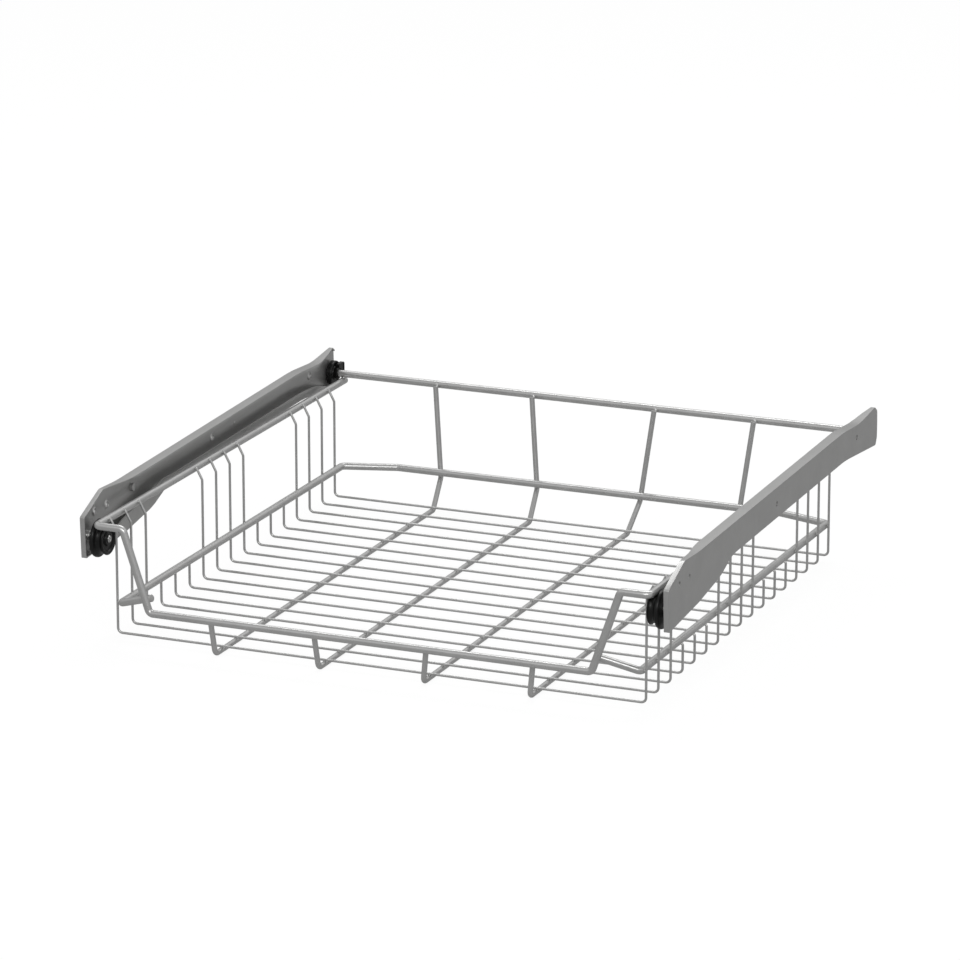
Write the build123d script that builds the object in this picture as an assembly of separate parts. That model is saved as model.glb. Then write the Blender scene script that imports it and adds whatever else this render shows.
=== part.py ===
from build123d import *
import math
import os

# A pull-out wire basket for a base cabinet, hung between two rails that are screwed to the cabinet's sides.
# Lengths are millimetres. X is to the right, Y to the back and Z up. X = 0 is the middle of the basket.
# Inside this file Y is counted from the front cross wire and Z from the centre line of the floor wires;
# place() then moves every piece, so that the part stands on Z = 0 with Y = 0 in its middle.
# The basket is modelled closed, as it is stored.

# Wires of the basket
THIN = 2.3  # diameter of the cross wires
LONG = 5.0  # diameter of the lengthwise wires under the floor
FRAME = 7.0  # diameter of the top and middle frame wires
BAR = 7.0  # diameter of the rear bar, which is the axle of the rear rollers
WELD = 0.12  # how far two welded wires sink into each other

# Overall width and travel
RAIL_X = 282.0  # from the middle to a rail's outer face, which lies on the cabinet's side panel
TRAVEL = 418.0  # how far the basket pulls out

# Cross wires
PITCH = 29.5  # from one cross wire to the next
WIRE_COUNTS = (3, 3, 4, 3, 4)  # from the front, tall and short wires in turn; the short ones end under the middle frame wire
SHORT_DROP = 2.2  # a short wire turns in this far below the middle frame wire's centre line
SHORT_RADIUS = 1.6  # and butts against that wire
CROSS_CORNER = 4.5  # bend radius between floor and side
SIDE_FLARE = 10.0  # how far the top frame wire stands outside the upright part of the cross wires
KINK_DROP = 9.0  # from the top frame wire down to where a cross wire bends outward
KINK_RADIUS = 4.0
SLANT_OVERRUN = 1.0  # how far a cross wire's end reaches past its weld on the top frame wire

# Top frame wire
WIRE_INSET = 17.0  # from a rail's outer face in to the wire
TOP_Z = 104.4
TOP_END = 3.2  # how far the wire's rear ends stand out behind the rear bar
FRONT_Y = -20.0  # the short front stretch that runs inward
FRONT_TURN = 26.5  # length of that stretch
FRONT_SLANT = 26.0  # sideways run of the slanted stretch down to the front bar
FRONT_BAR_Z = 29.2
TOP_BEND = 5.0

# Middle frame wire
MIDDLE_Z = 28.8
MIDDLE_BACK = 23.8  # from the last cross wire to the rear stretch
MIDDLE_FRONT_Y = -2.0
MIDDLE_CUT_X = 52.5  # the two rear corners are cut off at a slant
MIDDLE_CUT_Y = 16.5
MIDDLE_RISE = 11.8  # the front ends rise towards the top frame wire's slanted stretch
MIDDLE_OVERRUN = 4.0  # and end this far past it
MIDDLE_BEND = 5.0

# Lengthwise wires
LONG_COUNT = 4
LONG_STEP = 101.2  # from one lengthwise wire to the next
LONG_LEAN = 0.11  # sideways lean of the upright ends, per unit of height
LONG_FRONT_Y = -13.4
LONG_FRONT_LEAN = 0.065  # forward lean of the front uprights, per unit of height
LONG_BACK_LEAN = 0.112  # backward lean of the rear uprights, per unit of height
LONG_KNEE_DROP = 6.4  # the slanted rear part turns upright this far below the middle frame wire
LONG_BEND = 5.0

# Rails
RAIL_DEPTH = 10.5
SHEET = 1.2
LIP = 3.0  # height of the turned upper edge of the channel
RAIL_FRONT_Y = -19.0
RAIL_BACK = 11.7  # how far a rail reaches behind the rear bar
RAIL_SLOPE = 0.0236  # rise of the top edge towards the back
RAIL_FLANGE_FRONT = 4.8  # depth of the turned front end
RAIL_NARROW = 38.0  # length of that shallower end
# Corners of the lower edge: distance behind the front end, depth below the level stretch
RAIL_BELLY = ((0.0, 26.5), (79.0, 19.2), (125.0, 11.6), (155.0, 0.0))
# Corners of the upper edge: distance behind the front end, height above the sloped edge
RAIL_NOSE = ((0.0, -12.5), (40.0, 2.2), (73.0, 0.0))
# The same at the other end, with the distance in front of the back end
RAIL_TAIL = ((99.0, 0.0), (51.0, -4.0), (7.0, 0.1), (0.0, -1.3))

# Screw holes: the front pair is level, the others lie the same distance below the sloped edge
HOLE = 5.0
HOLE_DROP = 15.4
PAIR_START = 27.0  # from the rail's front end to the first hole
PAIR_STEP = 24.0
MIDDLE_HOLE = 271.0  # from the rail's front end
BACK_HOLE = 59.0  # from the rail's back end

# Front rollers, which turn on rivets in the rails and carry the top frame wire in their groove
ROLLER_Y = -2.6
GROOVE_GAP = 0.1  # between the wire and the groove
GROOVE_DEPTH = 1.7
ROLLER_GROOVE_R = 13.0
ROLLER_RIM_R = 17.6  # the larger rim, next to the rail
ROLLER_RIM_WIDTH = 4.0
ROLLER_FACE_WIDTH = 1.2
AXLE = 4.6
AXLE_HEAD = 6.6
AXLE_HEAD_HEIGHT = 1.0
AXLE_HEAD_EDGE = 1.0
AXLE_SHOULDER = 12.0
RUN_GAP = 0.05  # radial clearance of a roller on its axle
SIDE_GAP = 0.15  # end clearance of a roller

# Rear rollers on the bar's ends
BACK_ROLLER_R = 12.0
BACK_ROLLER_WIDTH = 5.5
BACK_ROLLER_EDGE = 0.6
TRACK_GAP = 0.3  # between a rear roller and the channel's floor
ROOF_GAP = 0.9  # between it and the channel's roof, where the roof is lowest on the way
WEB_GAP = 1.9  # between it and the rail's web

# Guides on the bar beside the rear rollers, each a ring with a rounded flag behind it
GUIDE_WIDTH = 3.6
GUIDE_RING_R = 5.6
GUIDE_GAP = 0.8  # between the ring and the turned lower edge of the channel
GUIDE_BACK = 12.5  # from the bar's middle to the flag's rear edge
GUIDE_LOW = 4.0  # from the bar's middle down to the flag's lower edge
GUIDE_HIGH = 9.2  # and up to its upper edge
GUIDE_CORNER = 2.5

# The pull-out stop is a hexagonal stud in each rail, in the way of the rear roller
STOP_ACROSS = 7.0
STOP_HEIGHT = 3.0
STOP_PIN = 4.0
STOP_GAP = 0.3  # what is left between roller and stud with the basket pulled out

# What follows from these sizes
THIN_R, LONG_R, FRAME_R, BAR_R = THIN / 2, LONG / 2, FRAME / 2, BAR / 2
CROSS_COUNT = sum(WIRE_COUNTS)
FLOOR_END = (CROSS_COUNT - 1) * PITCH
TOP_X = RAIL_X - WIRE_INSET
CROSS_X = TOP_X - SIDE_FLARE
KINK_Z = TOP_Z - KINK_DROP
FRONT_TURN_X = TOP_X - FRONT_TURN
FRONT_BAR_X = FRONT_TURN_X - FRONT_SLANT
MIDDLE_X = CROSS_X - THIN_R - FRAME_R + WELD
MIDDLE_BACK_Y = FLOOR_END + MIDDLE_BACK
LONG_Z = -(THIN_R + LONG_R - WELD)
FRONT_BAR_Y = LONG_FRONT_Y - LONG_FRONT_LEAN * FRONT_BAR_Z - LONG_R - FRAME_R + WELD
BAR_Z = TOP_Z + FRAME_R + BAR_R - WELD


def long_back_y(z):
    # The rear uprights pass behind the middle frame wire and lean back.
    return MIDDLE_BACK_Y + FRAME_R + LONG_R - WELD + LONG_BACK_LEAN * (z - MIDDLE_Z)


BAR_Y = long_back_y(BAR_Z) + LONG_R + BAR_R - WELD
WEB_X = RAIL_X - SHEET
RAIL_BACK_Y = BAR_Y + RAIL_BACK
RAIL_FLOOR_Z = BAR_Z - BACK_ROLLER_R - TRACK_GAP - SHEET
TRACK_LIP = BAR_Z - GUIDE_RING_R - GUIDE_GAP - RAIL_FLOOR_Z  # height of the turned lower edge
NARROW_Y = RAIL_FRONT_Y + RAIL_NARROW
TRACK_START_Y = RAIL_FRONT_Y + RAIL_BELLY[-1][0]
STOP_Y = BAR_Y - TRAVEL - BACK_ROLLER_R - STOP_GAP - STOP_ACROSS / math.sqrt(3)
LOWEST_ROOF_Y = BAR_Y - TRAVEL - BACK_ROLLER_R
LOWEST_ROOF_Z = BAR_Z + BACK_ROLLER_R + ROOF_GAP + SHEET
ROLLER_Z = TOP_Z - FRAME_R - GROOVE_GAP - ROLLER_GROOVE_R
GROOVE_R = FRAME_R + GROOVE_GAP
GROOVE_CENTRE_R = ROLLER_GROOVE_R + GROOVE_R
SMALL_RIM_R = ROLLER_GROOVE_R + GROOVE_DEPTH
ROLLER_FACE_X = TOP_X - math.sqrt(GROOVE_R**2 - (GROOVE_CENTRE_R - SMALL_RIM_R) ** 2) - ROLLER_FACE_WIDTH
ROLLER_BACK_X = TOP_X + GROOVE_R + ROLLER_RIM_WIDTH
BACK_ROLLER_X = WEB_X - WEB_GAP  # outer face of a rear roller, and the bar's end
GUIDE_X = BACK_ROLLER_X - BACK_ROLLER_WIDTH - SIDE_GAP - GUIDE_WIDTH
MIDDLE_Y = (FRONT_BAR_Y - FRAME_R + BAR_Y + GUIDE_BACK) / 2


def place(part):
    return Pos(0, -MIDDLE_Y, LONG_R - LONG_Z) * part


def save(part, name):
    part = place(part)
    part.label = name
    export_step(part, f"parts/{name}.step")


def save_pair(part, name):
    save(part, f"{name}_right")
    save(mirror(part, about=Plane.YZ), f"{name}_left")


def wire(points, radius, bends):
    path = FilletPolyline(*points, radius=bends)
    start = Plane(origin=path @ 0, z_dir=path % 0)
    return sweep(start * Circle(radius), path=path)


def both_sides(points):
    return points + [(-x, y, z) for x, y, z in reversed(points)]


def across(radius, length):
    # A cylinder along the X direction.
    return Rot(0, 90, 0) * Cylinder(radius, length)


def turned(profile, y, z):
    # A solid of revolution about the X direction, from corners of (x, radius).
    face = make_face(Polyline(*profile, close=True))
    return Pos(0, y, z) * revolve(face, Axis.X)


# Basket

def butt_end():
    # A short wire's end stands on the lower outer side of the middle frame wire.
    out, down = CROSS_X - MIDDLE_X, SHORT_DROP
    share = (FRAME_R - WELD) / math.hypot(out, down)
    return MIDDLE_X + out * share, MIDDLE_Z - down * share


def slant_end():
    # The slanted end of a cross wire lies against the inner side of the top frame wire.
    out, up = TOP_X - CROSS_X, TOP_Z - KINK_Z
    reach = math.hypot(out, up)
    touch = THIN_R + FRAME_R - WELD
    angle = math.atan2(up, out) + math.asin(touch / reach)
    length = math.sqrt(reach**2 - touch**2) + SLANT_OVERRUN
    return CROSS_X + length * math.cos(angle), KINK_Z + length * math.sin(angle)


def is_short(index):
    for run, count in enumerate(WIRE_COUNTS):
        if index < count:
            return run % 2 == 1
        index -= count


def cross_wire(index):
    y = index * PITCH
    if is_short(index):
        end_x, end_z = butt_end()
        turn_z, turn_radius = MIDDLE_Z - SHORT_DROP, SHORT_RADIUS
    else:
        end_x, end_z = slant_end()
        turn_z, turn_radius = KINK_Z, KINK_RADIUS
    half = [(end_x, y, end_z), (CROSS_X, y, turn_z), (CROSS_X, y, 0)]
    return wire(both_sides(half), THIN_R, [turn_radius, CROSS_CORNER, CROSS_CORNER, turn_radius])


def top_frame_wire():
    half = [
        (TOP_X, BAR_Y + TOP_END, TOP_Z),
        (TOP_X, FRONT_Y, TOP_Z),
        (FRONT_TURN_X, FRONT_Y, TOP_Z),
        (FRONT_BAR_X, FRONT_BAR_Y, FRONT_BAR_Z),
    ]
    return wire(both_sides(half), FRAME_R, [TOP_BEND] * 6)


def middle_frame_wire():
    # Each front end turns inward and up, and passes behind the slanted stretch of the top frame wire.
    corner = Vector(MIDDLE_X, MIDDLE_FRONT_Y, MIDDLE_Z)
    share = (MIDDLE_Z + MIDDLE_RISE - FRONT_BAR_Z) / (TOP_Z - FRONT_BAR_Z)
    crossing = Vector(
        FRONT_BAR_X + share * FRONT_SLANT,
        FRONT_BAR_Y + share * (FRONT_Y - FRONT_BAR_Y) + FRAME - WELD,
        MIDDLE_Z + MIDDLE_RISE,
    )
    end = crossing + (crossing - corner).normalized() * MIDDLE_OVERRUN
    half = [
        (end.X, end.Y, end.Z),
        (corner.X, corner.Y, corner.Z),
        (MIDDLE_X, MIDDLE_BACK_Y - MIDDLE_CUT_Y, MIDDLE_Z),
        (MIDDLE_X - MIDDLE_CUT_X, MIDDLE_BACK_Y, MIDDLE_Z),
    ]
    return wire(both_sides(half), FRAME_R, [MIDDLE_BEND] * 6)


def long_wire(number):
    # A wire bent in one plane, which leans outward, so that its ends stand wider apart than its floor part.
    x = (number - (LONG_COUNT - 1) / 2) * LONG_STEP
    lean = math.copysign(LONG_LEAN, x)
    knee_z = MIDDLE_Z - LONG_KNEE_DROP
    knee_y = long_back_y(knee_z)
    end_z = BAR_Z - WELD
    points = [
        (LONG_FRONT_Y - LONG_FRONT_LEAN * FRONT_BAR_Z, FRONT_BAR_Z),
        (LONG_FRONT_Y - LONG_FRONT_LEAN * LONG_Z, LONG_Z),
        (knee_y - (knee_z - LONG_Z), LONG_Z),
        (knee_y, knee_z),
        (long_back_y(end_z), end_z),
    ]
    return wire([(x + lean * (z - LONG_Z), y, z) for y, z in points], LONG_R, [LONG_BEND] * 3)


def rear_bar():
    return Pos(0, BAR_Y, BAR_Z) * across(BAR_R, 2 * BACK_ROLLER_X)


# Rails: the right one is modelled and mirrored

def rail_top(y):
    return LOWEST_ROOF_Z + RAIL_SLOPE * (y - LOWEST_ROOF_Y)


def hole_places():
    first = RAIL_FRONT_Y + PAIR_START
    pair_z = rail_top(first + PAIR_STEP / 2) - HOLE_DROP
    places = [(first, pair_z), (first + PAIR_STEP, pair_z)]
    for y in (RAIL_FRONT_Y + MIDDLE_HOLE, RAIL_BACK_Y - BACK_HOLE):
        places.append((y, rail_top(y) - HOLE_DROP))
    return places


def rail_outline(overrun):
    # The side view. Its back end is moved out by the overrun, so that what is cut with it stays open there.
    lower = [(RAIL_FRONT_Y + far, RAIL_FLOOR_Z - down) for far, down in RAIL_BELLY]
    nose = [(RAIL_FRONT_Y + far, rail_top(RAIL_FRONT_Y + far) + up) for far, up in RAIL_NOSE]
    tail = [(RAIL_BACK_Y - far, rail_top(RAIL_BACK_Y - far) + up) for far, up in RAIL_TAIL]
    back = RAIL_BACK_Y + overrun
    end_z = tail[-1][1]
    return lower + [(back, RAIL_FLOOR_Z), (back, end_z)] + tail[-2::-1] + nose[::-1]


def side_slab(x, thick, overrun, inset):
    face = make_face(Polyline(*rail_outline(overrun), close=True))
    if inset:
        face = offset(face, -inset, kind=Kind.INTERSECTION)
    return Pos(x, 0, 0) * extrude(Plane.YZ * face, thick, dir=(1, 0, 0))


def rail_sheet():
    inner_x = RAIL_X - RAIL_DEPTH
    overrun = 2 * TRACK_LIP
    body = side_slab(inner_x, RAIL_DEPTH, 0, 0)
    body -= side_slab(inner_x + SHEET, RAIL_DEPTH - 2 * SHEET, overrun, SHEET)
    mouth = side_slab(inner_x, SHEET, overrun, LIP)
    body -= mouth & Pos(0, 0, TRACK_LIP - LIP) * mouth
    shallow = RAIL_DEPTH - RAIL_FLANGE_FRONT
    tall = 4 * RAIL_NARROW
    body -= Pos(inner_x + shallow / 2, RAIL_FRONT_Y, BAR_Z) * Box(shallow, 2 * RAIL_NARROW, tall)
    for y, z in hole_places():
        body -= Pos(RAIL_X, y, z) * across(HOLE / 2, 4 * SHEET)
    body -= Pos(RAIL_X, ROLLER_Y, ROLLER_Z) * across(AXLE / 2, 4 * SHEET)
    body -= Pos(RAIL_X, STOP_Y, BAR_Z) * across(STOP_PIN / 2, 4 * SHEET)
    return body


def stretch(body, start_y, end_y):
    # What lies between two places along the rail.
    length = end_y - start_y
    return body & Pos(RAIL_X, start_y + length / 2, BAR_Z) * Box(4 * RAIL_DEPTH, length, length + RAIL_NARROW * 4)


def rail():
    # The pressed sheet is handed over as its flat web and the stretches of its turned edge, which meet face to face.
    sheet = rail_sheet()
    web_side = Pos(RAIL_X, 0, BAR_Z) * Box(2 * SHEET, 4 * RAIL_BACK_Y, 4 * RAIL_BACK_Y)
    edge = sheet - web_side
    lower, upper = stretch(edge, NARROW_Y, RAIL_BACK_Y).solids().sort_by(Axis.Z)
    return {
        "rail_web": sheet & web_side,
        "rail_front_edge": stretch(edge, RAIL_FRONT_Y, NARROW_Y),
        "rail_upper_edge": upper,
        "rail_belly_edge": stretch(lower, NARROW_Y, TRACK_START_Y),
        "rail_track": stretch(lower, TRACK_START_Y, RAIL_BACK_Y),
    }


def pull_out_stop():
    stud = RegularPolygon(STOP_ACROSS / 2, 6, major_radius=False)
    body = Pos(WEB_X - STOP_HEIGHT, 0, 0) * extrude(Plane.YZ * stud, STOP_HEIGHT, dir=(1, 0, 0))
    body += Pos((WEB_X + RAIL_X) / 2, 0, 0) * across(STOP_PIN / 2, SHEET)
    return Pos(0, STOP_Y, BAR_Z) * body


# Front rollers and their rivets

def front_roller():
    wall_x = TOP_X + GROOVE_R
    profile = [
        (ROLLER_FACE_X, AXLE / 2 + RUN_GAP),
        (ROLLER_FACE_X, SMALL_RIM_R),
        (TOP_X, SMALL_RIM_R),
        (TOP_X, GROOVE_CENTRE_R),
        (wall_x, GROOVE_CENTRE_R),
        (wall_x, ROLLER_RIM_R),
        (ROLLER_BACK_X, ROLLER_RIM_R),
        (ROLLER_BACK_X, AXLE / 2 + RUN_GAP),
    ]
    groove = revolve(Pos(TOP_X, GROOVE_CENTRE_R) * Circle(GROOVE_R), Axis.X)
    return turned(profile, ROLLER_Y, ROLLER_Z) - Pos(0, ROLLER_Y, ROLLER_Z) * groove


def front_axle():
    head_x = ROLLER_FACE_X - SIDE_GAP
    shoulder_x = ROLLER_BACK_X + SIDE_GAP
    profile = [
        (head_x - AXLE_HEAD_HEIGHT, 0),
        (head_x - AXLE_HEAD_HEIGHT, AXLE_HEAD / 2 - AXLE_HEAD_EDGE),
        (head_x, AXLE_HEAD / 2),
        (head_x, AXLE / 2),
        (shoulder_x, AXLE / 2),
        (shoulder_x, AXLE_SHOULDER / 2),
        (WEB_X, AXLE_SHOULDER / 2),
        (WEB_X, AXLE / 2),
        (RAIL_X, AXLE / 2),
        (RAIL_X, 0),
    ]
    return turned(profile, ROLLER_Y, ROLLER_Z)


# Rear rollers and guides

def rear_roller():
    inner = BACK_ROLLER_X - BACK_ROLLER_WIDTH
    profile = [
        (inner, BAR_R + RUN_GAP),
        (inner, BACK_ROLLER_R - BACK_ROLLER_EDGE),
        (inner + BACK_ROLLER_EDGE, BACK_ROLLER_R),
        (BACK_ROLLER_X - BACK_ROLLER_EDGE, BACK_ROLLER_R),
        (BACK_ROLLER_X, BACK_ROLLER_R - BACK_ROLLER_EDGE),
        (BACK_ROLLER_X, BAR_R + RUN_GAP),
    ]
    return turned(profile, BAR_Y, BAR_Z)


def rear_guide():
    centre_x = GUIDE_X + GUIDE_WIDTH / 2
    ring = across(GUIDE_RING_R, GUIDE_WIDTH)
    flag = Box(GUIDE_WIDTH, GUIDE_BACK, GUIDE_LOW + GUIDE_HIGH)
    flag = fillet(flag.edges().filter_by(Axis.X), GUIDE_CORNER)
    flag = Pos(0, GUIDE_BACK / 2, (GUIDE_HIGH - GUIDE_LOW) / 2) * flag
    body = ring + flag - across(BAR_R, 2 * GUIDE_WIDTH)
    return Pos(centre_x, BAR_Y, BAR_Z) * body


os.makedirs("parts", exist_ok=True)

for index in range(CROSS_COUNT):
    save(cross_wire(index), f"cross_wire_{index + 1:02d}")
for number in range(LONG_COUNT):
    save(long_wire(number), f"long_wire_{number + 1}")
save(top_frame_wire(), "top_frame_wire")
save(middle_frame_wire(), "middle_frame_wire")
save(rear_bar(), "rear_bar")

for name, part in rail().items():
    save_pair(part, name)
save_pair(pull_out_stop(), "pull_out_stop")
save_pair(front_roller(), "front_roller")
save_pair(front_axle(), "front_axle")
save_pair(rear_roller(), "rear_roller")
save_pair(rear_guide(), "rear_guide")
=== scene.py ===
import math

import bmesh
import bpy
from mathutils import Matrix, Vector


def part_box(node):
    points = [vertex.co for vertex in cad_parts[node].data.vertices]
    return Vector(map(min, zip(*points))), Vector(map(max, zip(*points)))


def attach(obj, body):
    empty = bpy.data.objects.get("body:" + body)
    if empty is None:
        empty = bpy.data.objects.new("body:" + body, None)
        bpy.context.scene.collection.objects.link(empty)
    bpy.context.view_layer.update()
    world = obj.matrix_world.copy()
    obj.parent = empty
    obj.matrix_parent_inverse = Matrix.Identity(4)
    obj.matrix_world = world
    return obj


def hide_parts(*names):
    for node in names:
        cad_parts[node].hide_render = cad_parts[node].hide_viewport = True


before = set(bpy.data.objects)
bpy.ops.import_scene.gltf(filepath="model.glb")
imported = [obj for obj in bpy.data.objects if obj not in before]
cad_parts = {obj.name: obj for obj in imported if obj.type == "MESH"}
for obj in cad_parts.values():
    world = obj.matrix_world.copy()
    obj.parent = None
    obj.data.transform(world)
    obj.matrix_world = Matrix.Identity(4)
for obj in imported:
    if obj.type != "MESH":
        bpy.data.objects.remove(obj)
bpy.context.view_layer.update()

# Pieces are drawn in millimetres: X from the middle of the basket, Y from the front cross wire,
# Z from the centre line of the floor wires. toFrame then puts them where the CAD model is.
millimetre = 0.001
crossWireRadius = 1.15
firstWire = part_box("cross_wire_01")
frontWireY = (firstWire[0].y + firstWire[1].y) / 2
floorWireZ = firstWire[0].z + crossWireRadius * millimetre
toFrame = Matrix.Translation((0, frontWireY, floorWireZ)) @ Matrix.Scale(millimetre, 4)
print("frame loaded, front wire at", round(frontWireY, 5))


# Materials

def newMaterial(name):
    material = bpy.data.materials.new(name)
    material.use_nodes = True
    nodes = material.node_tree.nodes
    shader = nodes["Principled BSDF"]
    return material, nodes, material.node_tree.links, shader


def noiseAt(nodes, links, scale, detail):
    coords = nodes.new("ShaderNodeTexCoord")
    noise = nodes.new("ShaderNodeTexNoise")
    noise.inputs["Scale"].default_value = scale
    noise.inputs["Detail"].default_value = detail
    links.new(coords.outputs["Object"], noise.inputs["Vector"])
    return noise.outputs["Fac"]


def ramp(nodes, links, source, low, high, start=0.3, end=0.7):
    node = nodes.new("ShaderNodeValToRGB")
    node.color_ramp.elements[0].position = start
    node.color_ramp.elements[1].position = end
    node.color_ramp.elements[0].color = (*low, 1)
    node.color_ramp.elements[1].color = (*high, 1)
    links.new(source, node.inputs["Fac"])
    return node.outputs["Color"]


def spread(nodes, links, source, low, high):
    node = nodes.new("ShaderNodeMapRange")
    node.inputs["From Min"].default_value = 0.25
    node.inputs["From Max"].default_value = 0.75
    node.inputs["To Min"].default_value = low
    node.inputs["To Max"].default_value = high
    links.new(source, node.inputs["Value"])
    return node.outputs["Result"]


def bump(nodes, links, source, shader, strength, distance):
    node = nodes.new("ShaderNodeBump")
    node.inputs["Strength"].default_value = strength
    node.inputs["Distance"].default_value = distance
    links.new(source, node.inputs["Height"])
    links.new(node.outputs["Normal"], shader.inputs["Normal"])


wireLook = {
    "dark": (0.52, 0.52, 0.515), "light": (0.58, 0.58, 0.575),
    "metal": 0.8, "smooth": 0.26, "rough": 0.34,
}
railLook = {
    "dark": (0.43, 0.43, 0.425), "light": (0.46, 0.46, 0.455),
    "metal": 0.75, "smooth": 0.3, "rough": 0.36,
}
rivetLook = {
    "dark": (0.52, 0.52, 0.51), "light": (0.68, 0.68, 0.67),
    "metal": 1.0, "smooth": 0.18, "rough": 0.32,
}
plasticLook = {
    "dark": (0.003, 0.003, 0.003), "light": (0.005, 0.005, 0.005),
    "smooth": 0.26, "rough": 0.4,
}


def coatedSteel(name, look, grain, depth):
    # Silver coating: a little uneven in tone, with a fine orange-peel surface.
    material, nodes, links, shader = newMaterial(name)
    tone = noiseAt(nodes, links, 45, 3)
    gloss = noiseAt(nodes, links, 160, 4)
    links.new(ramp(nodes, links, tone, look["dark"], look["light"]), shader.inputs["Base Color"])
    links.new(spread(nodes, links, gloss, look["smooth"], look["rough"]), shader.inputs["Roughness"])
    shader.inputs["Metallic"].default_value = look["metal"]
    bump(nodes, links, noiseAt(nodes, links, grain, 2), shader, 0.12, depth)
    return material


def mouldedPlastic(name, look):
    material, nodes, links, shader = newMaterial(name)
    tone = noiseAt(nodes, links, 220, 3)
    gloss = noiseAt(nodes, links, 500, 3)
    links.new(ramp(nodes, links, tone, look["dark"], look["light"]), shader.inputs["Base Color"])
    links.new(spread(nodes, links, gloss, look["smooth"], look["rough"]), shader.inputs["Roughness"])
    shader.inputs["Specular IOR Level"].default_value = 0.3
    bump(nodes, links, noiseAt(nodes, links, 2600, 3), shader, 0.2, 0.00006)
    return material


wireCoat = coatedSteel("wireCoat", wireLook, 1500, 0.00003)
railCoat = coatedSteel("railCoat", railLook, 1800, 0.00003)
rivetSteel = coatedSteel("rivetSteel", rivetLook, 3000, 0.00002)
blackPlastic = mouldedPlastic("blackPlastic", plasticLook)
print("materials made")


# Shared modelling steps

def settle(bm, name, material, body, nodes=(), sharp=40):
    # Ends a piece: merges doubles, turns faces outwards, moves it into the frame, gives it its finish as a material
    # and its body, and hides the CAD nodes it stands for.
    bmesh.ops.remove_doubles(bm, verts=bm.verts, dist=0.0005)
    bmesh.ops.recalc_face_normals(bm, faces=bm.faces)
    bmesh.ops.transform(bm, matrix=toFrame, verts=bm.verts)
    mesh = bpy.data.meshes.new(name)
    bm.to_mesh(mesh)
    bm.free()
    mesh.shade_smooth()
    mesh.set_sharp_from_angle(angle=math.radians(sharp))
    mesh.materials.append(material)
    piece = bpy.data.objects.new(name, mesh)
    bpy.context.scene.collection.objects.link(piece)
    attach(piece, body)
    if nodes:
        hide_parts(*nodes)
    return piece


def pushEdges(bm, edges, move):
    made = bmesh.ops.extrude_edge_only(bm, edges=edges)["geom"]
    verts = [item for item in made if isinstance(item, bmesh.types.BMVert)]
    bmesh.ops.translate(bm, verts=verts, vec=move)
    return [item for item in made if isinstance(item, bmesh.types.BMEdge)], verts


def closeEnd(bm, edges, centre, along, radius):
    # A cut wire end with a small rounded edge.
    for share, step in ((0.9, 0.12), (0.68, 0.1)):
        edges, verts = pushEdges(bm, edges, along * radius * step)
        shift = Matrix.Translation(centre)
        bmesh.ops.transform(bm, matrix=shift @ Matrix.Scale(share, 4) @ shift.inverted(), verts=verts)
        edges = [edge for edge in edges if edge.is_boundary]
    bmesh.ops.edgeloop_fill(bm, edges=edges)


def bendWire(bm, points, radius, bends, sides=16, turnSteps=8):
    # A round wire: its end circle is pushed along each straight run and spun about the centre of each bend.
    points = [Vector(point) for point in points]
    along = (points[1] - points[0]).normalized()
    facing = along.to_track_quat("Z", "Y").to_matrix().to_4x4()
    trim = radius * 0.22
    here = points[0] + along * trim
    bmesh.ops.create_circle(bm, segments=sides, radius=radius, matrix=Matrix.Translation(here) @ facing)
    ring = [edge for edge in bm.edges if edge.is_wire]
    first = list(ring)
    for index in range(1, len(points)):
        last = index == len(points) - 1
        along = (points[index] - points[index - 1]).normalized()
        target = points[index] - along * trim
        if not last:
            ahead = (points[index + 1] - points[index]).normalized()
            turn = along.angle(ahead)
            setback = bends[index - 1] * math.tan(turn / 2)
            target = points[index] - along * setback
        made, verts = pushEdges(bm, ring, target - here)
        ring = [edge for edge in made if all(vert in verts for vert in edge.verts)]
        here = target
        if not last:
            axis = along.cross(ahead).normalized()
            centre = target + axis.cross(along) * bends[index - 1]
            steps = max(2, round(turnSteps * turn / (math.pi / 2)))
            spun = bmesh.ops.spin(bm, geom=ring, cent=centre, axis=axis, angle=turn, steps=steps,
                                  use_duplicate=False)
            ring = [item for item in spun["geom_last"] if isinstance(item, bmesh.types.BMEdge)]
            here = points[index] + ahead * setback
    closeEnd(bm, ring, here, along, radius)
    back = (points[0] - points[1]).normalized()
    closeEnd(bm, first, points[0] - back * trim, back, radius)


def bothSides(points):
    return points + [(-x, y, z) for x, y, z in reversed(points)]


def turnedPiece(bm, profile, y, z, side, steps=64):
    # Turns a profile of (x, radius) corners about the X direction.
    verts = [bm.verts.new((side * x, y, z + radius)) for x, radius in profile]
    edges = [bm.edges.new(pair) for pair in zip(verts, verts[1:])]
    bmesh.ops.spin(bm, geom=verts + edges, cent=(0, y, z), axis=(1, 0, 0), angle=2 * math.pi,
                   steps=steps, use_merge=True, use_duplicate=False)


def weldBlob(bm, place, size):
    # The slight swelling where two wires are welded.
    matrix = Matrix.Translation(place) @ Matrix.Diagonal((*size, 1))
    bmesh.ops.create_icosphere(bm, subdivisions=2, radius=1, matrix=matrix)


# Basket wires

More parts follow.
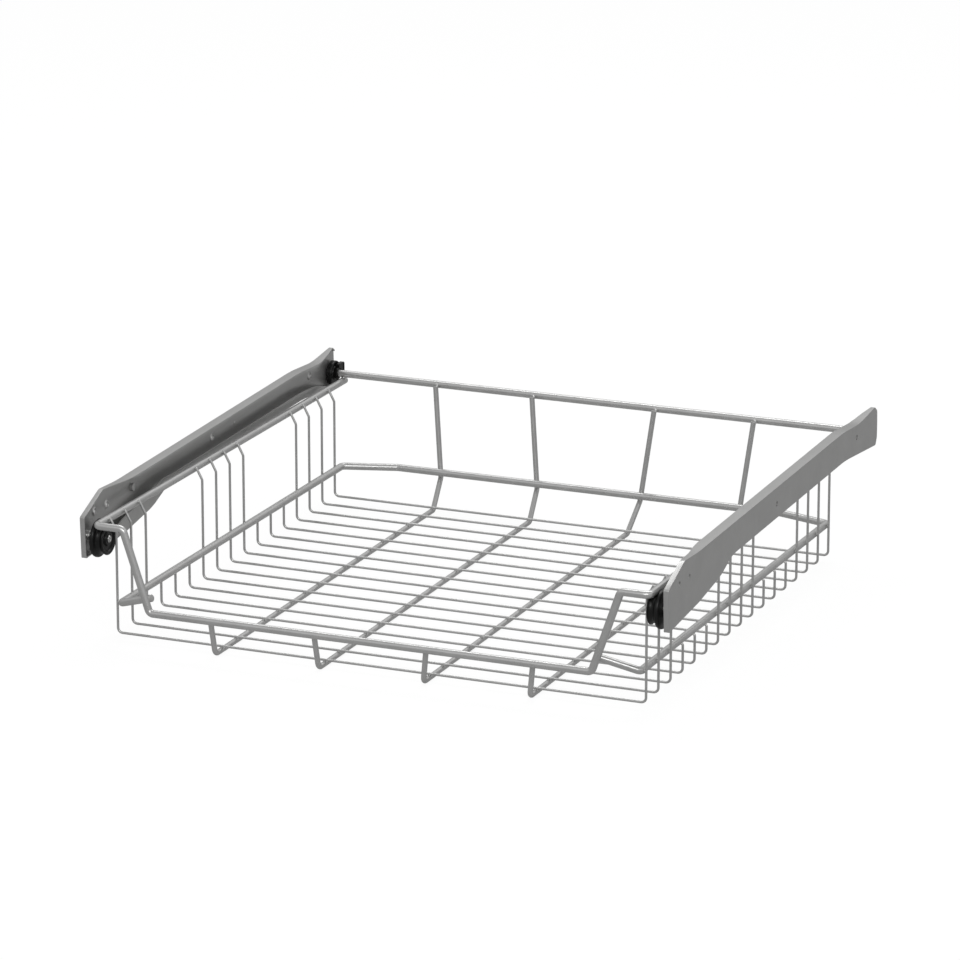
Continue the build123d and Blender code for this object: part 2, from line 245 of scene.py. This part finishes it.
wires = {
    "thin": crossWireRadius, "long": 2.5, "frame": 3.5, "bar": 3.5, "weld": 0.12,
    "pitch": 29.5, "count": 17, "short": (3, 4, 5, 10, 11, 12),
    "barY": 516.798, "barZ": 111.28, "barEnd": 278.9,
}
crossWire = {
    "sideX": 255.0, "corner": 4.5, "kinkZ": 95.4, "kinkRadius": 4.0, "tip": (261.44, 107.48),
    "shortKinkZ": 26.6, "shortRadius": 1.6, "shortTip": (253.51, 27.32),
}
topWire = {
    "sideX": 265.0, "z": 104.4, "endY": 519.998, "frontY": -20.0, "turnX": 238.5,
    "barX": 212.5, "barY": -21.178, "barZ": 29.2, "bend": 5.0,
}
middleWire = {
    "sideX": 250.47, "z": 28.8, "backY": 495.8, "cutX": 52.5, "cutY": 16.5,
    "frontY": -2.0, "tip": (212.86, -15.40, 41.84), "bend": 5.0,
}
longWire = {
    "step": 101.2, "z": -3.53, "lean": 0.11, "frontY": -13.4, "frontLean": 0.065, "frontTop": 29.2,
    "kneeZ": 22.4, "backLean": 0.112, "bend": 5.0,
}


def crossWirePoints(index):
    y = index * wires["pitch"]
    side = crossWire["sideX"]
    short = index in wires["short"]
    tipX, tipZ = crossWire["shortTip" if short else "tip"]
    kinkZ = crossWire["shortKinkZ" if short else "kinkZ"]
    return bothSides([(tipX, y, tipZ), (side, y, kinkZ), (side, y, 0)])


def longWireY(z):
    rear = middleWire["backY"] + wires["frame"] + wires["long"] - wires["weld"]
    return rear + longWire["backLean"] * (z - middleWire["z"])


def longWirePoints(number):
    x = (number - 1.5) * longWire["step"]
    lean = math.copysign(longWire["lean"], x)
    base, knee = longWire["z"], longWire["kneeZ"]
    side = [
        (longWire["frontY"] - longWire["frontLean"] * longWire["frontTop"], longWire["frontTop"]),
        (longWire["frontY"] - longWire["frontLean"] * base, base),
        (longWireY(knee) - (knee - base), base),
        (longWireY(knee), knee),
        (longWireY(wires["barZ"]), wires["barZ"] - wires["weld"]),
    ]
    return [(x + lean * (z - base), y, z) for y, z in side]


for index in range(wires["count"]):
    bm = bmesh.new()
    kink = crossWire["shortRadius" if index in wires["short"] else "kinkRadius"]
    bends = [kink, crossWire["corner"], crossWire["corner"], kink]
    bendWire(bm, crossWirePoints(index), wires["thin"], bends, 14, 7)
    number = f"{index + 1:02d}"
    settle(bm, "crossWire" + number, wireCoat, "basket", ["cross_wire_" + number])

for number in range(4):
    bm = bmesh.new()
    bendWire(bm, longWirePoints(number), wires["long"], [longWire["bend"]] * 3, 20)
    settle(bm, f"longWire{number + 1}", wireCoat, "basket", [f"long_wire_{number + 1}"])

bm = bmesh.new()
bendWire(bm, bothSides([
    (topWire["sideX"], topWire["endY"], topWire["z"]),
    (topWire["sideX"], topWire["frontY"], topWire["z"]),
    (topWire["turnX"], topWire["frontY"], topWire["z"]),
    (topWire["barX"], topWire["barY"], topWire["barZ"]),
]), wires["frame"], [topWire["bend"]] * 6, 28, 12)
settle(bm, "topFrameWire", wireCoat, "basket", ["top_frame_wire"])

bm = bmesh.new()
bendWire(bm, bothSides([
    middleWire["tip"],
    (middleWire["sideX"], middleWire["frontY"], middleWire["z"]),
    (middleWire["sideX"], middleWire["backY"] - middleWire["cutY"], middleWire["z"]),
    (middleWire["sideX"] - middleWire["cutX"], middleWire["backY"], middleWire["z"]),
]), wires["frame"], [middleWire["bend"]] * 6, 28, 12)
settle(bm, "middleFrameWire", wireCoat, "basket", ["middle_frame_wire"])

bm = bmesh.new()
barEnds = [(x, wires["barY"], wires["barZ"]) for x in (-wires["barEnd"], wires["barEnd"])]
bendWire(bm, barEnds, wires["bar"], [], 32)
settle(bm, "rearBar", wireCoat, "basket", ["rear_bar"])
print("wires bent")


# Weld swellings at every crossing of the basket

weld = {
    # half sizes of each swelling
    "floor": (1.35, 1.35, 0.75), "short": (1.0, 1.4, 1.0), "side": (0.75, 1.4, 1.5), "top": (1.1, 1.45, 1.3),
    "upright": (2.3, 1.1, 2.3), "knee": (2.4, 1.1, 2.4), "bar": (2.4, 2.4, 1.1), "slant": (2.6, 1.2, 2.6),
    # where they sit
    "floorZ": -1.15, "shortPlace": (253.75, 27.2), "sideX": 253.9, "topPlace": (261.9, 106.0),
    "uprightOut": 2.45, "uprightDown": 0.6, "kneeOut": 3.45, "barZ": 107.85, "slantPlace": (216.4, -17.4, 40.5),
}


def floorWelds(bm):
    for index in range(wires["count"]):
        for number in range(4):
            x = (number - 1.5) * longWire["step"]
            weldBlob(bm, (x, index * wires["pitch"], weld["floorZ"]), weld["floor"])


def sideWelds(bm):
    shortX, shortZ = weld["shortPlace"]
    topX, topZ = weld["topPlace"]
    for index in range(wires["count"]):
        y = index * wires["pitch"]
        for side in (-1, 1):
            if index in wires["short"]:
                weldBlob(bm, (side * shortX, y, shortZ), weld["short"])
            else:
                weldBlob(bm, (side * weld["sideX"], y, middleWire["z"]), weld["side"])
                weldBlob(bm, (side * topX, y, topZ), weld["top"])


def endWelds(bm):
    for number in range(4):
        points = longWirePoints(number)
        x, y, z = points[0]
        weldBlob(bm, (x, y - weld["uprightOut"], z), weld["upright"])
        x, y, z = points[-1]
        weldBlob(bm, (x, y + weld["uprightOut"], z - weld["uprightDown"]), weld["upright"])
        lean = math.copysign(longWire["lean"], points[1][0])
        atMiddle = points[1][0] + lean * (middleWire["z"] - longWire["z"])
        weldBlob(bm, (atMiddle, middleWire["backY"] + weld["kneeOut"], middleWire["z"]), weld["knee"])
    slantX, slantY, slantZ = weld["slantPlace"]
    for side in (-1, 1):
        weldBlob(bm, (side * topWire["sideX"], wires["barY"], weld["barZ"]), weld["bar"])
        weldBlob(bm, (side * slantX, slantY, slantZ), weld["slant"])


bm = bmesh.new()
floorWelds(bm)
sideWelds(bm)
endWelds(bm)
settle(bm, "wireWelds", wireCoat, "basket")
print("welds set")


# Rails, pressed from sheet

rail = {
    "outerX": 282.0, "sheet": 1.2, "bend": 1.3,
    "pointStep": 12, "edgeStartsY": 522.5,
    # outline of the web, from the front lower corner backwards and round: y, z, corner radius
    "outline": (
        (-16.5, 71.3, 2.0), (57.0, 78.4, 0), (88.0, 83.4, 20), (108.0, 86.4, 14), (138.5, 98.0, 12),
        (438.0, 104.8, 25), (524.5, 97.4, 2.5), (528.1, 104.0, 3), (528.5, 116.0, 8), (527.8, 130.5, 3),
        (521.0, 135.4, 3), (478.0, 130.6, 25), (430.0, 133.5, 25), (53.0, 124.7, 14), (19.5, 126.2, 4),
        (-18.5, 110.0, 2.5),
    ),
    # the height that parts upper from lower edges, in front of and behind a place
    "middle": (60, 97.0, 112.0),
    # depth of the turned edges along the rail: y, depth
    "topDepth": (
        (-18.5, 4.8), (4, 4.6), (20, 4.4), (42, 6.0), (70, 10.4), (440, 10.4), (480, 9.5), (505, 6.5), (522, 3.4),
    ),
    "lowDepth": ((-18.5, 4.8), (10, 5.4), (30, 9.9), (470, 9.9), (500, 8.0), (522, 3.4)),
    # height of the lips on the turned edges, and where along the rail they run
    "topLipRun": (64, 500), "lowLipRun": (20, 505),
    "topLip": ((64, 0.0), (80, 2.4), (470, 2.4), (500, 0.6)),
    "lowLip": (
        (20, 0.5), (39, 12.9), (57, 14.7), (88, 15.5), (108, 16.3), (130, 12.2), (138, 9.2), (150, 8.0),
        (470, 7.6), (505, 1.5),
    ),
    "holes": ((8.0, 108.5), (32.0, 108.5), (252.0, 113.97), (470.0, 119.1)),
    "hole": 2.5, "collar": 3.9, "collarHigh": 1.1, "dimple": (301.0, 115.8), "dimpleSize": (0.9, 2.1, 2.1),
}


def along(table, y):
    # Reads a size between the stated places.
    if y <= table[0][0]:
        return table[0][1]
    for (y0, size0), (y1, size1) in zip(table, table[1:]):
        if y <= y1:
            return size0 + (size1 - size0) * (y - y0) / (y1 - y0)
    return table[-1][1]


def railMiddle(y):
    parting, front, rear = rail["middle"]
    return rear if y > parting else front


def railSheet():
    bm = bmesh.new()
    outline = rail["outline"]
    bm.faces.new([bm.verts.new((rail["outerX"], y, z)) for y, z, radius in outline])
    # more points along the long edges, where the turned edges change depth
    for edge in list(bm.edges):
        length = edge.calc_length()
        if length > 2.5 * rail["pointStep"]:
            bmesh.ops.subdivide_edges(bm, edges=[edge], cuts=round(length / rail["pointStep"]))
    bm.verts.ensure_lookup_table()
    for y, z, radius in outline:
        if radius:
            corner = Vector((rail["outerX"], y, z))
            near = min(bm.verts, key=lambda vert: (vert.co - corner).length)
            bmesh.ops.bevel(bm, geom=[near], offset=radius * 0.6, offset_type="OFFSET", segments=5, profile=0.5,
                            affect="VERTICES", material=-1, clamp_overlap=True)
    # the turned edges, all round but for the open rear end
    rim = [edge for edge in bm.edges if not all(vert.co.y > rail["edgeStartsY"] for vert in edge.verts)]
    _, edgeVerts = pushEdges(bm, rim, (0, 0, 0))
    for vert in edgeVerts:
        top = vert.co.z > railMiddle(vert.co.y)
        vert.co.x -= along(rail["topDepth" if top else "lowDepth"], vert.co.y)
    edgeVerts = set(edgeVerts)
    free = [edge for edge in bm.edges if edge.is_boundary and all(vert in edgeVerts for vert in edge.verts)]
    lipEdges = {"low": [], "top": []}
    for edge in free:
        middle = (edge.verts[0].co + edge.verts[1].co) / 2
        word = "top" if middle.z > railMiddle(middle.y) else "low"
        first, last = rail[word + "LipRun"]
        if first <= middle.y <= last:
            lipEdges[word].append(edge)
    for word, up in (("low", 1), ("top", -1)):
        _, lipVerts = pushEdges(bm, lipEdges[word], (0, 0, 0))
        for vert in lipVerts:
            vert.co.z += up * along(rail[word + "Lip"], vert.co.y)
    bends = [edge for edge in rim if edge.is_valid and not edge.is_boundary]
    bmesh.ops.bevel(bm, geom=bends, offset=rail["bend"], offset_type="OFFSET", segments=4, profile=0.5,
                    affect="EDGES", material=-1, clamp_overlap=True)
    return bm


def railPiece(name, side, word):
    bm = railSheet()
    bmesh.ops.recalc_face_normals(bm, faces=bm.faces)
    # the web's outer face looks away from the basket
    if max(bm.faces, key=lambda face: face.calc_area()).normal.x < 0:
        bmesh.ops.reverse_faces(bm, faces=bm.faces)
    bmesh.ops.solidify(bm, geom=bm.faces, thickness=rail["sheet"])
    if side < 0:
        bmesh.ops.scale(bm, vec=(-1, 1, 1), verts=bm.verts)
    parts = ("web", "front_edge", "upper_edge", "belly_edge", "track")
    nodes = [f"rail_{part}_{word}" for part in parts]
    piece = settle(bm, name, railCoat, "rails", nodes, 35)
    cutters = bmesh.new()
    for y, z in rail["holes"]:
        place = Matrix.Translation((side * rail["outerX"], y, z)) @ Matrix.Rotation(math.pi / 2, 4, "Y")
        bmesh.ops.create_cone(cutters, cap_ends=True, segments=32, radius1=rail["hole"], radius2=rail["hole"],
                              depth=10 * rail["sheet"], matrix=place)
    bmesh.ops.transform(cutters, matrix=toFrame, verts=cutters.verts)
    cutterMesh = bpy.data.meshes.new("cutter")
    cutters.to_mesh(cutterMesh)
    cutters.free()
    cutter = bpy.data.objects.new("cutter", cutterMesh)
    bpy.context.scene.collection.objects.link(cutter)
    cut = piece.modifiers.new("holes", "BOOLEAN")
    cut.object = cutter
    cut.solver = "EXACT"
    bpy.context.view_layer.update()
    evaluated = piece.evaluated_get(bpy.context.evaluated_depsgraph_get())
    done = bpy.data.meshes.new_from_object(evaluated)
    piece.modifiers.clear()
    piece.data = done
    bpy.data.objects.remove(cutter)
    # the web is flat up to its bend
    flat = {key for face in done.polygons if abs(face.normal.x) > 0.9995 for key in face.edge_keys}
    for edge in done.edges:
        if tuple(sorted(edge.vertices)) in flat:
            edge.use_edge_sharp = True


def holeCollars(name, side):
    # The sheet is drawn inwards round each screw hole, and at one dimple.
    bm = bmesh.new()
    inner = rail["outerX"] - rail["sheet"]
    collar, high, hole = rail["collar"], rail["collarHigh"], rail["hole"]
    for y, z in rail["holes"]:
        profile = [
            (inner + 0.5, collar + 0.5), (inner - 0.05, collar + 0.4), (inner - 0.35, collar - 0.2),
            (inner - high * 0.8, collar - 0.45), (inner - high, collar - 0.8),
            (inner - high * 0.9, hole + 0.25), (inner - 0.4, hole + 0.02), (inner + 0.5, hole + 0.02),
        ]
        profile.append(profile[0])
        turnedPiece(bm, profile, y, z, side, 32)
    weldBlob(bm, (side * inner, *rail["dimple"]), rail["dimpleSize"])
    settle(bm, name, railCoat, "rails", [], 50)


for side, word in ((1, "Right"), (-1, "Left")):
    railPiece("rail" + word, side, word.lower())
    holeCollars("holeCollars" + word, side)
print("rails pressed")


# Rollers, rivets, guides and stops

frontRoller = {
    "y": -2.6, "z": 87.8, "grooveR": 13.0, "grooveX": 265.0, "groove": 3.6, "wallTurn": 0.4,
    "smallRim": 14.7, "bigRim": 17.6, "faceX": 260.74, "backX": 272.6, "bore": 2.35,
}
rivet = {"head": 3.3, "headHigh": 1.0, "pin": 2.3, "shoulder": 6.0, "gap": 0.15}
rearRoller = {"r": 12.0, "innerX": 273.4, "outerX": 278.9, "bore": 3.55}
guide = {
    "innerX": 269.65, "outerX": 273.25, "ring": 5.6, "bore": 3.52,
    "back": 12.5, "low": 4.0, "high": 9.2, "corner": 2.5, "root": 4.4, "frame": 1.1, "panelDepth": 0.5,
}
stopStud = {"y": 82.456, "z": 111.28, "across": 7.0, "high": 3.0}


def frontRollerProfile():
    face, back = frontRoller["faceX"], frontRoller["backX"]
    grooveX, groove = frontRoller["grooveX"], frontRoller["groove"]
    centre = frontRoller["grooveR"] + groove
    start = math.asin((centre - frontRoller["smallRim"]) / groove)
    small, big, bore = frontRoller["smallRim"], frontRoller["bigRim"], frontRoller["bore"]
    profile = [
        (face + 0.9, bore), (face + 0.9, 4.2), (face + 0.3, 4.6), (face + 0.3, 6.2), (face + 1.8, 6.9),
        (face + 1.8, 11.2), (face + 0.3, 12.0), (face, 12.5), (face, small - 0.9),
        (face + 0.12, small - 0.45), (face + 0.4, small - 0.12), (face + 0.8, small),
    ]
    for step in range(10):
        angle = math.pi + start + (math.pi - start - frontRoller["wallTurn"]) * step / 9
        profile.append((grooveX + groove * math.cos(angle), centre + groove * math.sin(angle)))
    wall = grooveX + groove
    profile += [
        (wall + 0.05, big - 1.3), (wall + 0.35, big - 0.65), (wall + 0.85, big - 0.2), (wall + 1.5, big),
        (back - 1.2, big), (back - 0.6, big - 0.15), (back - 0.15, big - 0.6), (back, big - 1.2),
        (back, bore), (face + 0.9, bore),
    ]
    return profile


def rivetProfile():
    # a hollow head, the pin, a shoulder against the web and a tail inside the sheet
    head = frontRoller["faceX"] - rivet["gap"]
    shoulder = frontRoller["backX"] + rivet["gap"]
    web = rail["outerX"] - rail["sheet"]
    top, pin, wide = head - rivet["headHigh"], rivet["pin"], rivet["shoulder"]
    return [
        (head - 0.3, 0.0), (head - 0.35, 0.9), (head - 0.85, 1.2), (top, 1.5), (top, 2.2),
        (head - 0.75, 2.8), (head - 0.3, 3.2), (head, rivet["head"]), (head, pin), (shoulder, pin),
        (shoulder, wide - 0.3), (shoulder + 0.3, wide), (web, wide), (web, pin), (web + 0.6, pin), (web + 0.7, 0.0),
    ]


def rearRollerProfile():
    inner, outer, r = rearRoller["innerX"], rearRoller["outerX"], rearRoller["r"]
    return [
        (inner, rearRoller["bore"]), (inner, 6.6), (inner + 0.9, 7.0), (inner + 0.9, 9.9), (inner, 10.4),
        (inner, r - 0.7),
        (inner + 0.2, r - 0.2), (inner + 0.7, r), (outer - 0.7, r), (outer - 0.2, r - 0.2), (outer, r - 0.7),
        (outer, rearRoller["bore"]), (inner, rearRoller["bore"]),
    ]


def guidePiece(bm, side):
    # A ring on the bar with a rounded flag behind it, framed by a raised edge.
    inner, outer, bore, radius = guide["innerX"], guide["outerX"], guide["bore"], guide["ring"]
    turnedPiece(bm, [
        (inner + 0.3, bore), (inner, bore + 0.3), (inner, radius - 0.4), (inner + 0.4, radius),
        (outer - 0.4, radius), (outer, radius - 0.4), (outer, bore), (inner + 0.3, bore),
    ], wires["barY"], wires["barZ"], side, 48)
    low, high, back, corner, root = -guide["low"], guide["high"], guide["back"], guide["corner"], guide["root"]
    outline = []
    for centreY, centreZ, first in (
        (root + corner, low + corner, 180), (back - corner, low + corner, 270),
        (back - corner, high - corner, 0), (corner, high - corner, 90),
    ):
        for step in range(7):
            angle = math.radians(first + step * 15)
            outline.append((centreY + corner * math.cos(angle), centreZ + corner * math.sin(angle)))
    for step in range(8):
        angle = math.radians(90 - step * 12)
        outline.append((root * math.cos(angle), root * math.sin(angle)))
    barY, barZ = wires["barY"], wires["barZ"]
    flag = bm.faces.new([bm.verts.new((side * inner, barY + y, barZ + z)) for y, z in outline])
    grown = bmesh.ops.extrude_face_region(bm, geom=[flag])["geom"]
    grownVerts = [item for item in grown if isinstance(item, bmesh.types.BMVert)]
    bmesh.ops.translate(bm, verts=grownVerts, vec=(side * (outer - inner), 0, 0))
    # the flag's two broad faces get a sunk panel
    broad = [face for face in bm.faces if abs(face.normal.x) > 0.9 and face.calc_area() > 40
             and face.calc_center_median().y > barY + 2]
    bmesh.ops.recalc_face_normals(bm, faces=bm.faces)
    for face in broad:
        bmesh.ops.inset_region(bm, faces=[face], thickness=guide["frame"], depth=0)
        bmesh.ops.inset_region(bm, faces=[face], thickness=0.3, depth=-guide["panelDepth"])


def studPiece(bm, side):
    middleX = rail["outerX"] - rail["sheet"] - stopStud["high"] / 2
    place = Matrix.Translation((side * middleX, stopStud["y"], stopStud["z"]))
    place = place @ Matrix.Rotation(side * math.pi / 2, 4, "Y") @ Matrix.Rotation(math.pi / 2, 4, "Z")
    radius = stopStud["across"] / math.sqrt(3)
    bmesh.ops.create_cone(bm, cap_ends=True, segments=6, radius1=radius, radius2=radius,
                          depth=stopStud["high"], matrix=place)
    bmesh.ops.bevel(bm, geom=bm.edges[:], offset=0.4, offset_type="OFFSET", segments=3, profile=0.5,
                    affect="EDGES", material=-1)


for side, word in ((1, "Right"), (-1, "Left")):
    tail = word.lower()
    rollerPlace, barPlace = (frontRoller["y"], frontRoller["z"]), (wires["barY"], wires["barZ"])
    bm = bmesh.new()
    turnedPiece(bm, frontRollerProfile(), *rollerPlace, side, 72)
    settle(bm, "frontRoller" + word, blackPlastic, "front_roller_" + tail,
           ["front_roller_" + tail], 35)
    bm = bmesh.new()
    turnedPiece(bm, rivetProfile(), *rollerPlace, side, 48)
    settle(bm, "frontRivet" + word, rivetSteel, "rails", ["front_axle_" + tail], 35)
    bm = bmesh.new()
    turnedPiece(bm, rearRollerProfile(), *barPlace, side, 64)
    settle(bm, "rearRoller" + word, blackPlastic, "rear_roller_" + tail, ["rear_roller_" + tail], 35)
    bm = bmesh.new()
    guidePiece(bm, side)
    settle(bm, "rearGuide" + word, blackPlastic, "basket", ["rear_guide_" + tail], 35)
    bm = bmesh.new()
    studPiece(bm, side)
    settle(bm, "pullOutStop" + word, railCoat, "rails", ["pull_out_stop_" + tail], 35)
print("rollers, rivets, guides and stops set")


# Floor, lights and camera

studio = {
    "floorSize": 30, "floorDrop": 0.0005, "floorGrey": (0.86, 0.86, 0.86, 1),
    "paperWhite": 1.04, "paperMirrored": 0.3, "paperShare": 0.88,
    # greys of the studio around the object, by height above the horizon
    "band": ((0.25, 0.45), (0.5, 0.8), (0.75, 0.6)), "horizon": 0.34, "zenith": 0.42,
}


def grey(value):
    return (value, value, value, 1)


def stageFloor():
    bm = bmesh.new()
    bmesh.ops.create_grid(bm, x_segments=1, y_segments=1, size=studio["floorSize"])
    mesh = bpy.data.meshes.new("floor")
    bm.to_mesh(mesh)
    bm.free()
    floor = bpy.data.objects.new("floor", mesh)
    floor.location = (0, 0, -studio["floorDrop"])
    bpy.context.scene.collection.objects.link(floor)
    material, nodes, links, shader = newMaterial("floorPaper")
    shader.inputs["Base Color"].default_value = studio["floorGrey"]
    shader.inputs["Roughness"].default_value = 0.9
    shader.inputs["Specular IOR Level"].default_value = 0.0
    # a camera ray sees white paper, and a wire's reflection a greyer one
    glow = nodes.new("ShaderNodeEmission")
    path = nodes.new("ShaderNodeLightPath")
    strength = nodes.new("ShaderNodeMapRange")
    strength.inputs["To Min"].default_value = studio["paperMirrored"]
    strength.inputs["To Max"].default_value = studio["paperWhite"]
    links.new(path.outputs["Is Camera Ray"], strength.inputs["Value"])
    links.new(strength.outputs["Result"], glow.inputs["Strength"])
    seen = nodes.new("ShaderNodeMath")
    seen.operation = "MAXIMUM"
    links.new(path.outputs["Is Camera Ray"], seen.inputs[0])
    links.new(path.outputs["Is Glossy Ray"], seen.inputs[1])
    share = nodes.new("ShaderNodeMath")
    share.operation = "MULTIPLY"
    share.inputs[1].default_value = studio["paperShare"]
    links.new(seen.outputs[0], share.inputs[0])
    mix = nodes.new("ShaderNodeMixShader")
    links.new(share.outputs[0], mix.inputs["Fac"])
    links.new(shader.outputs["BSDF"], mix.inputs[1])
    links.new(glow.outputs["Emission"], mix.inputs[2])
    links.new(mix.outputs["Shader"], nodes["Material Output"].inputs["Surface"])
    mesh.materials.append(material)


def studioWorld():
    world = bpy.data.worlds.new("studio")
    bpy.context.scene.world = world
    world.use_nodes = True
    nodes, links = world.node_tree.nodes, world.node_tree.links
    # white behind the object, and a grey studio around it with a brighter band well above the floor
    coords = nodes.new("ShaderNodeTexCoord")
    parts = nodes.new("ShaderNodeSeparateXYZ")
    band = nodes.new("ShaderNodeValToRGB")
    links.new(coords.outputs["Generated"], parts.inputs["Vector"])
    links.new(parts.outputs["Z"], band.inputs["Fac"])
    band.color_ramp.elements[0].color = grey(studio["horizon"])
    band.color_ramp.elements[1].color = grey(studio["zenith"])
    for height, value in studio["band"]:
        band.color_ramp.elements.new(height).color = grey(value)
    path = nodes.new("ShaderNodeLightPath")
    plain = nodes.new("ShaderNodeBackground")
    mix = nodes.new("ShaderNodeMixShader")
    links.new(band.outputs["Color"], nodes["Background"].inputs["Color"])
    plain.inputs["Color"].default_value = grey(1)
    links.new(path.outputs["Is Camera Ray"], mix.inputs["Fac"])
    links.new(nodes["Background"].outputs["Background"], mix.inputs[1])
    links.new(plain.outputs["Background"], mix.inputs[2])
    links.new(mix.outputs["Shader"], nodes["World Output"].inputs["Surface"])


def softLamp(name, place, target, size, power):
    light = bpy.data.lights.new(name, "AREA")
    light.shape = "RECTANGLE"
    light.size, light.size_y = size
    light.energy = power
    lamp = bpy.data.objects.new(name, light)
    lamp.location = place
    lamp.rotation_euler = (Vector(target) - Vector(place)).to_track_quat("-Z", "Y").to_euler()
    bpy.context.scene.collection.objects.link(lamp)


stageFloor()
studioWorld()
softLamp("frontBox", (1.0, -2.4, 1.75), (0, 0, 0.05), (2.4, 0.9), 24)
softLamp("backBox", (-0.3, 1.5, 2.6), (0, 0, 0.05), (2.4, 0.9), 26)

camera = {
    "place": (1.8783, -4.1997, 1.5138), "pitch": 73.7353, "yaw": 22.9621, "lens": 205.4595, "sensor": 36.0,
}
cameraData = bpy.data.cameras.new("photoCamera")
cameraData.lens = camera["lens"]
cameraData.sensor_width = camera["sensor"]
cameraData.clip_end = 100
cameraObject = bpy.data.objects.new("photoCamera", cameraData)
x, y, z = camera["place"]
cameraObject.location = (x, y + frontWireY, z + floorWireZ)
cameraObject.rotation_euler = (math.radians(camera["pitch"]), 0, math.radians(camera["yaw"]))
bpy.context.scene.collection.objects.link(cameraObject)
bpy.context.scene.camera = cameraObject
bpy.context.scene.view_settings.view_transform = "Standard"
print("stage and camera set")
